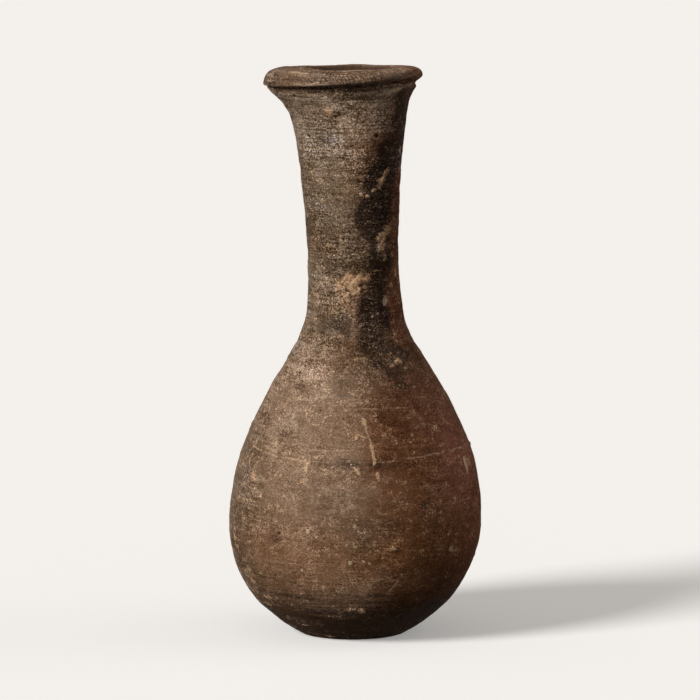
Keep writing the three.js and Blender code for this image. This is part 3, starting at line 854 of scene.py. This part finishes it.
def base_mesh():
    """The base disc: its flat foot with the arcs of the cutting string, its side and its floor."""
    section = Section()
    foot = OUTLINE[0][0]
    head = BASE_SLIP[0]
    floor = head - BEVEL
    for radius in np.arange(INNERMOST, foot, FOOT_ROW):
        section.add(radius, 0, face=UNDERSIDE)
    add_outer(section, 0, head)
    section.crease()
    floor_start = len(section.rows)
    for radius in np.arange(inner_radius(floor), INNERMOST, -BORE_ROW):
        section.add(radius, floor, bore=1)
    section.crease(floor_start)
    mesh = turned_mesh("base_disc", section, AROUND, closed=False)
    for vertex in mesh.vertices:
        x, y, z = (value / MM for value in vertex.co)
        reach = math.hypot(x, y)
        if z < FLATNESS and reach < foot:
            arc = math.sin(STRING_CLOSENESS * math.dist((x, y), STRING_MIDDLE))
            depth = STRING_DEPTH * (1 + arc)
            vertex.co.z = depth * (1 - smooth_step(reach, FOOT_RIM - 1, FOOT_RIM)) * MM
    return mesh


def lip_mesh():
    """The rolled lip, from the undercut over the crest to the bore."""
    section = Section()
    edge = [(radius, LIP_JOINT + rise) for radius, rise in LIP]
    bore = (inner_radius(LIP_JOINT - BEVEL), LIP_JOINT - BEVEL)
    curve = spline([*edge, bore])
    along = np.concatenate([[0], np.cumsum(np.hypot(*np.diff(curve, axis=0).T))])
    places = np.linspace(0, along[-1], round(along[-1] / LIP_ROW) + 1)
    radius = np.interp(places, along, curve[:, 0])
    height = np.interp(places, along, curve[:, 1])
    run_r = np.gradient(radius, places)
    run_z = np.gradient(height, places)
    for row, place in enumerate(places):
        fade = min(1, place / LIP_FADE, (along[-1] - place) / LIP_FADE)
        out = (run_z[row], -run_r[row])
        inside = smooth_step(place, *MOUTH_EDGE)
        section.add(radius[row], height[row], out, face=LIP_JOINT + place, bore=inside, relief=fade)
    section.crease(0)
    section.crease()
    return turned_mesh("rolled_lip", section, AROUND)


# Materials

def srgb(red, green, blue):
    """A colour given as it looks on a screen, from 0 to 255, as the shader needs it."""
    shares = [value / 255 for value in (red, green, blue)]
    linear = [s / 12.92 if s <= 0.04045 else ((s + 0.055) / 1.055) ** 2.4 for s in shares]
    return (*linear, 1.0)


# Colours of the areas in the order in which they lie on the clay, and how strongly each covers it
AREA_COLOURS = [
    ("ochre", srgb(142, 101, 67), 0.8),
    # Redness, with painted warm shade down the right side
    ("redness_and_painted_warm_shade", srgb(130, 87, 60), 1.0),
    ("umber", srgb(128, 84, 48), 1.0),
    ("berry", srgb(134, 80, 58), 1.0),
    ("shade", srgb(117, 96, 78), 0.8),
    ("ash", srgb(142, 123, 103), 0.7),
    ("dusk", srgb(78, 55, 37), 1.0),
]
SOOT_AND_PAINTED_SHADE = srgb(50, 35, 24)
DUST = srgb(178, 153, 125)
CRUST = srgb(202, 160, 122)
PALE_AND_PAINTED_HIGHLIGHT = srgb(212, 181, 147)
STAIN = srgb(84, 58, 42)
PIT_AND_PAINTED_SHADOW = srgb(44, 32, 25)
BORE = srgb(66, 48, 36)
# How far red, green and blue follow when clay is lighter or darker by one stop
GREYING = (0.86, 1.0, 1.2)
# How much darker single grains of sand may be in red, green or blue
SAND_TINT = 0.06
# Depth of the finest roughness, in metres
BUMP_DEPTH = 0.14 * MM


class Shader:
    """Short names for the shader nodes of one material."""

    def __init__(self, name):
        self.material = bpy.data.materials.new(name)
        self.material.use_nodes = True
        self.tree = self.material.node_tree

    def fill(self, made, inputs):
        """Gives a node's inputs, named or numbered, their values or links."""
        for socket, value in inputs.items():
            if isinstance(value, bpy.types.NodeSocket):
                self.tree.links.new(value, made.inputs[socket])
            else:
                made.inputs[socket].default_value = value

    def node(self, kind, inputs, **settings):
        made = self.tree.nodes.new(kind)
        for name, value in settings.items():
            setattr(made, name, value)
        self.fill(made, inputs)
        return made

    def surface(self, inputs):
        self.fill(self.tree.nodes["Principled BSDF"], inputs)

    def layer(self, name):
        return self.node("ShaderNodeAttribute", {}, attribute_name=name).outputs["Fac"]

    def millimetres(self):
        """The place on the flask, in millimetres."""
        return self.scaled(self.node("ShaderNodeTexCoord", {}).outputs["Object"], (1000, 1000, 1000))

    def scaled(self, vector, factors):
        made = self.node("ShaderNodeVectorMath", {0: vector, 1: factors}, operation="MULTIPLY")
        return made.outputs["Vector"]

    def noise(self, vector, scale, detail=3.0, roughness=0.6):
        inputs = {"Vector": vector, "Scale": scale, "Detail": detail, "Roughness": roughness}
        return self.node("ShaderNodeTexNoise", inputs).outputs["Fac"]

    def cells(self, vector, scale):
        """The distance from scattered points, and a colour for each of them."""
        made = self.node("ShaderNodeTexVoronoi", {"Vector": vector, "Scale": scale})
        return made.outputs["Distance"], made.outputs["Color"]

    def split(self, colour):
        """The red, green and blue share of a colour."""
        return tuple(self.node("ShaderNodeSeparateColor", {0: colour}).outputs)[:3]

    def math(self, operation, first, second=0.0):
        return self.node("ShaderNodeMath", {0: first, 1: second}, operation=operation).outputs["Value"]

    def add(self, first, *others):
        for other in others:
            first = self.math("ADD", first, other)
        return first

    def times(self, first, *others):
        for other in others:
            first = self.math("MULTIPLY", first, other)
        return first

    def weighed(self, *pairs):
        """The sum of values, each times its weight."""
        return self.add(*(self.times(value, weight) for value, weight in pairs))

    def spread(self, chance):
        """A chance of 0 to 1 as a number from -1 to 1."""
        return self.math("SUBTRACT", self.times(chance, 2.0), 1.0)

    def ramp(self, value, low, high, start=0.0, end=1.0):
        """Follows value smoothly from start at low to end at high."""
        inputs = dict(enumerate((value, low, high, start, end)))
        return self.node("ShaderNodeMapRange", inputs, interpolation_type="SMOOTHSTEP").outputs["Result"]

    def clouds(self, vector, scale, detail=3.0, roughness=0.6, edge=0.3, swing=1.0):
        """Soft clouds of noise, from -swing to swing."""
        return self.ramp(self.noise(vector, scale, detail, roughness), edge, 1 - edge, -swing, swing)

    def dots(self, distance, size, chance, rarity):
        """Dots round scattered points, on those points that chance picks."""
        return self.times(self.ramp(distance, *size, 1.0, 0.0), self.ramp(chance, *rarity))

    def cover(self, kind, pattern, amount, low, high, share):
        """How strongly a layer covers the clay, up to a share. A pattern makes its edge ragged."""
        return self.ramp(self.add(self.layer(kind), self.times(pattern, amount)), low, high, 0.0, share)

    def mix(self, share, first, second):
        """A mix of two colours, whose sockets lie behind those for numbers and vectors."""
        return self.node("ShaderNodeMix", {0: share, 6: first, 7: second}, data_type="RGBA").outputs[2]

    def lighter(self, colour, stops):
        """The colour made lighter by some stops. Lighter clay is greyer too."""
        factors = [self.math("POWER", 2.0, self.times(stops, share)) for share in GREYING]
        made = self.node("ShaderNodeCombineXYZ", dict(enumerate(factors)))
        return self.scaled(colour, made.outputs["Vector"])


def line_share(clay, kind, breaks):
    """How strongly thin lines of one kind show, with ragged edges and broken up by noise."""
    gap = clay.math("ABSOLUTE", clay.layer(kind + "_gap"))
    gap = clay.add(gap, clay.math("SUBTRACT", 0.3, clay.times(breaks, 0.4)))
    thin = clay.ramp(gap, 0.3, 0.8, 1.0, 0.0)
    return clay.times(clay.times(clay.layer(kind), thin), breaks)


def fired_clay(name, warm, cool, streaks=1.0):
    """Fired clay: sandy speckle, turning lines, smoke, redness, ash, dust, crust and scars, with painted
    light and shade.
    """
    clay = Shader(name)
    place = clay.millimetres()
    level = clay.scaled(place, (0.05, 0.05, 1.0))
    lying = clay.scaled(place, (0.6, 0.6, 1.0))
    coarse = clay.layer("coarse")
    soot_and_painted_shade = clay.layer("soot_and_painted_shade")

    # Patterns from -1 to 1, from the widest to the finest
    mottle = clay.clouds(place, scale=0.2)
    blotch = clay.clouds(lying, scale=0.5)
    cloudy = clay.clouds(lying, scale=1.3, roughness=0.65, edge=0.28)
    turning = clay.clouds(level, scale=1.8, detail=4.0, roughness=0.7, swing=streaks)
    sand_gap, sand_cells = clay.cells(place, 1.8)
    sand_chance, fleck_chance, _ = clay.split(sand_cells)
    sand = clay.weighed((clay.spread(sand_chance), 0.45), (cloudy, 0.55))
    _, grain_cells = clay.cells(place, 4.2)
    grain = clay.spread(clay.split(grain_cells)[0])
    speckle = clay.weighed((grain, 0.6), (sand, 0.4))

    # The clay with its areas, smoke and stains, and painted shade and painted warm shade down the right
    # side
    colour = clay.mix(clay.ramp(clay.noise(place, scale=0.08), 0.35, 0.65), cool, warm)
    for kind, tint, share in AREA_COLOURS:
        colour = clay.mix(clay.times(clay.layer(kind), share), colour, tint)
    drift = clay.add(speckle, turning, mottle, blotch)
    # Smoke, and painted shade in the dark streak down the right of the neck
    colour = clay.mix(clay.cover("soot_and_painted_shade", drift, 0.2, 0.15, 0.9, share=0.93), colour, SOOT_AND_PAINTED_SHADE)
    colour = clay.mix(clay.times(clay.layer("stain"), 0.85), colour, STAIN)

    # Lighter and darker by stops: each pattern everywhere, and more where the clay is coarse or lies under
    # the soot and painted shade
    speckled = 0.0
    for pattern, everywhere, if_coarse, if_soot_and_shade in (
        (grain, 0.8, 0.7, 0.7),
        (sand, 0.3, 0.25, 0.3),
        (turning, 0.15, 0.4, 0.4),
        (blotch, 0.28, 0.12, 0.0),
        (mottle, 0.3, 0.08, 0.0),
    ):
        share = clay.add(everywhere, clay.times(coarse, if_coarse), clay.times(soot_and_painted_shade, if_soot_and_shade))
        speckled = clay.add(speckled, clay.times(pattern, share))
    rough = clay.ramp(clay.noise(place, scale=0.11, roughness=0.5), 0.35, 0.65, 0.6, 1.2)
    rough = clay.add(rough, clay.times(coarse, 0.2))
    turned = clay.times(clay.layer("dusk"), turning, 0.45)
    # Tones of firing, with painted shadow under the rolled edge and the fold, painted shade on the lower
    # right and painted light
    tone_and_painted_light = clay.times(clay.layer("tone_and_painted_light"), 0.5)
    colour = clay.lighter(colour, clay.add(tone_and_painted_light, turned, clay.times(speckled, rough)))
    tints = {0: sand_cells, 1: [SAND_TINT] * 3, 2: [1 - SAND_TINT] * 3}
    tint = clay.node("ShaderNodeVectorMath", tints, operation="MULTIPLY_ADD")
    colour = clay.scaled(colour, tint.outputs["Vector"])

    # Flecks, dust, grit and pores
    flecks = clay.dots(sand_gap, (0.1, 0.4), fleck_chance, (0.8, 0.9))
    flecks = clay.times(flecks, clay.add(0.1, clay.times(clay.add(coarse, soot_and_painted_shade), 0.3)))
    colour = clay.mix(flecks, colour, DUST)
    dust = clay.cover("dust", clay.add(speckle, blotch), 0.5, 0.54, 0.98, share=0.85)
    colour = clay.mix(dust, colour, DUST)
    distance, which = clay.cells(place, 0.9)
    distance = clay.add(distance, clay.times(speckle, 0.07))
    grit_chance, pore_chance, _ = clay.split(which)
    grit = clay.dots(distance, (0.08, 0.24), grit_chance, (0.7, 0.9))
    grit = clay.times(grit, clay.add(0.25, clay.times(coarse, 0.5)))
    colour = clay.mix(grit, colour, DUST)
    pores = clay.dots(distance, (0.1, 0.24), pore_chance, (0.8, 0.9))
    colour = clay.mix(clay.times(pores, 0.7), colour, PIT_AND_PAINTED_SHADOW)

    # Crust, trails, lines, chips and pits, with a painted highlight along the fold's ridge and painted
    # shadow under the rolled edge
    crust = clay.weighed((clay.layer("crust"), 0.85), (clay.add(grain, sand, blotch), 0.26))
    crust = clay.ramp(crust, 0.22, 0.75)
    crust_stops = clay.weighed((speckle, 1.1), (clay.add(turning, blotch), 0.2))
    grainy_crust = clay.lighter(CRUST[:3], crust_stops)
    colour = clay.mix(clay.times(crust, 0.92), colour, grainy_crust)
    # Trails, and a painted highlight along the fold's ridge
    trails = clay.cover("trail", speckle, 0.25, 0.3, 0.7, share=0.95)
    colour = clay.mix(trails, colour, clay.mix(0.3, grainy_crust, PALE_AND_PAINTED_HIGHLIGHT))
    breaks = clay.ramp(clay.noise(place, scale=1.1, roughness=0.7), 0.38, 0.58, 0.15, 1.0)
    # Pale lines: scratches, and a painted highlight along the fold's ridge
    colour = clay.mix(clay.times(line_share(clay, "scratch", breaks), 0.6), colour, PALE_AND_PAINTED_HIGHLIGHT)
    # Dark lines: grooves, and painted shadow under the rolled edge and the fold
    colour = clay.mix(clay.times(line_share(clay, "groove", breaks), 0.75), colour, PIT_AND_PAINTED_SHADOW)
    colour = clay.mix(clay.cover("pale", grain, 0.15, 0.25, 0.6, share=0.9), colour, PALE_AND_PAINTED_HIGHLIGHT)
    colour = clay.mix(clay.cover("dark", grain, 0.12, 0.3, 0.7, share=0.85), colour, PIT_AND_PAINTED_SHADOW)
    # The tones, painted light and shade among them, laid once more over the marks
    colour = clay.lighter(colour, tone_and_painted_light)
    colour = clay.mix(clay.times(clay.layer("bore"), 0.8), colour, BORE)

    # The finest roughness
    height = clay.add(
        clay.times(speckle, clay.add(0.35, clay.times(coarse, 0.65))),
        clay.times(turning, clay.add(0.25, clay.times(soot_and_painted_shade, 0.4))),
        clay.times(crust, 0.8),
    )
    bump = clay.node("ShaderNodeBump", {"Distance": BUMP_DEPTH, "Strength": 0.9, "Height": height})
    clay.surface({
        "Base Color": colour,
        "Roughness": clay.ramp(speckle, -1, 1, 0.96, 0.8),
        "Specular IOR Level": 0.1,
        "Normal": bump.outputs["Normal"],
    })
    return clay.material


# The photo's view: how far the camera stands, how steeply it looks down, at what, and how wide
VIEW_DISTANCE = 1500
VIEW_ELEVATION = math.radians(8.2)
VIEW_TARGET = (-1.36, 0, 70.2)
VIEW_WIDTH = 172.84
SENSOR = 36
# The least and the greatest distance that the camera sees, in metres
VIEW_DEPTHS = (0.05, 50)
# How much paler the floor looks to the camera than the plain light makes it
FLOOR_GLOW = 0.3
# The floor as the camera sees it, and as it throws light back on the flask; its radius in metres
FLOOR_SEEN = srgb(242, 240, 237)
FLOOR_SHED = srgb(44, 43, 42)
FLOOR_RADIUS = 8
SURROUND = srgb(255, 246, 236)
SURROUND_STRENGTH = 0.2


def make_camera():
    data = bpy.data.cameras.new("camera")
    camera = new_object("camera", data)
    data.sensor_width = SENSOR
    data.lens = SENSOR * VIEW_DISTANCE / VIEW_WIDTH
    data.clip_start, data.clip_end = VIEW_DEPTHS
    back = VIEW_DISTANCE * math.cos(VIEW_ELEVATION)
    rise = VIEW_DISTANCE * math.sin(VIEW_ELEVATION)
    camera.location = (VIEW_TARGET[0] * MM, -back * MM, (VIEW_TARGET[2] + rise) * MM)
    camera.rotation_euler = (math.pi / 2 - VIEW_ELEVATION, 0, 0)
    bpy.context.scene.camera = camera


def make_light(name, azimuth, elevation, softness, strength):
    """A soft light from far off. At a strength of 1 a facing white surface is just white."""
    data = bpy.data.lights.new(name, "SUN")
    data.angle = math.radians(softness)
    data.energy = strength * math.pi
    light = new_object(name, data)
    light.rotation_euler = (math.radians(90 - elevation), 0, math.radians(azimuth))


def make_stage():
    """A plain pale floor, and a surround that lights the flask softly."""
    bpy.ops.mesh.primitive_circle_add(
        vertices=96, radius=FLOOR_RADIUS, fill_type="NGON", location=(0, 0, 0)
    )
    floor = bpy.context.object
    floor.name = "floor"
    paper = Shader("floor_paper")
    path = paper.node("ShaderNodeLightPath", {})
    seen = paper.math("MAXIMUM", path.outputs["Is Camera Ray"], path.outputs["Is Glossy Ray"])
    paper.surface({
        "Base Color": paper.mix(seen, FLOOR_SHED, FLOOR_SEEN),
        "Emission Color": FLOOR_SEEN,
        "Emission Strength": paper.times(seen, FLOOR_GLOW),
        "Roughness": 1.0,
        "Specular IOR Level": 0.0,
    })
    floor.data.materials.append(paper.material)
    world = bpy.data.worlds.new("surround")
    bpy.context.scene.world = world
    world.use_nodes = True
    glow = world.node_tree.nodes["Background"]
    glow.inputs["Color"].default_value = SURROUND
    glow.inputs["Strength"].default_value = SURROUND_STRENGTH


make_camera()
make_stage()
make_light("key", azimuth=-54, elevation=30, softness=20, strength=0.93)
make_light("fill", azimuth=95, elevation=32, softness=50, strength=0.1)

body_clay = fired_clay("body_clay", warm=srgb(152, 120, 94), cool=srgb(140, 111, 87))
neck_clay = fired_clay("neck_clay", warm=srgb(141, 112, 83), cool=srgb(127, 102, 77), streaks=1.3)
lip_clay = fired_clay("lip_clay", warm=srgb(136, 107, 84), cool=srgb(120, 95, 74), streaks=2.2)
base_clay = fired_clay("base_clay", warm=srgb(104, 79, 57), cool=srgb(90, 67, 48))

# Walls and rings of slip: piece, node, slot, material, foot, head, and points round the flask
WALLS = [
    ("slip_base", "slip_ring_base", "slip", base_clay, *BASE_SLIP, AROUND),
    ("slip_belly", "slip_ring_belly", "slip", body_clay, *BELLY_SLIP, BELLY_AROUND),
    ("slip_neck", "slip_ring_neck", "slip", body_clay, *NECK_SLIP, AROUND),
    ("slip_lip", "slip_ring_lip", "slip", body_clay, *LIP_SLIP, AROUND),
    ("belly_bowl", "lower_body", "body_clay", body_clay, BASE_SLIP[1], BELLY_SLIP[0], BELLY_AROUND),
    ("shoulder", "upper_body", "shoulder_clay", body_clay, BELLY_SLIP[1], NECK_SLIP[0], SHOULDER_AROUND),
    ("long_neck", "neck", "neck_clay", neck_clay, NECK_SLIP[1], LIP_SLIP[0], NECK_AROUND),
]
piece("base_disc", base_mesh(), base_clay, "base_pad")
for name, node, slot, clay, foot, head, count in WALLS:
    piece(name, turned_mesh(name, wall_section(foot, head), count), clay, node)
piece("rolled_lip", lip_mesh(), lip_clay, "lip")

bpy.context.scene.view_settings.view_transform = "Standard"
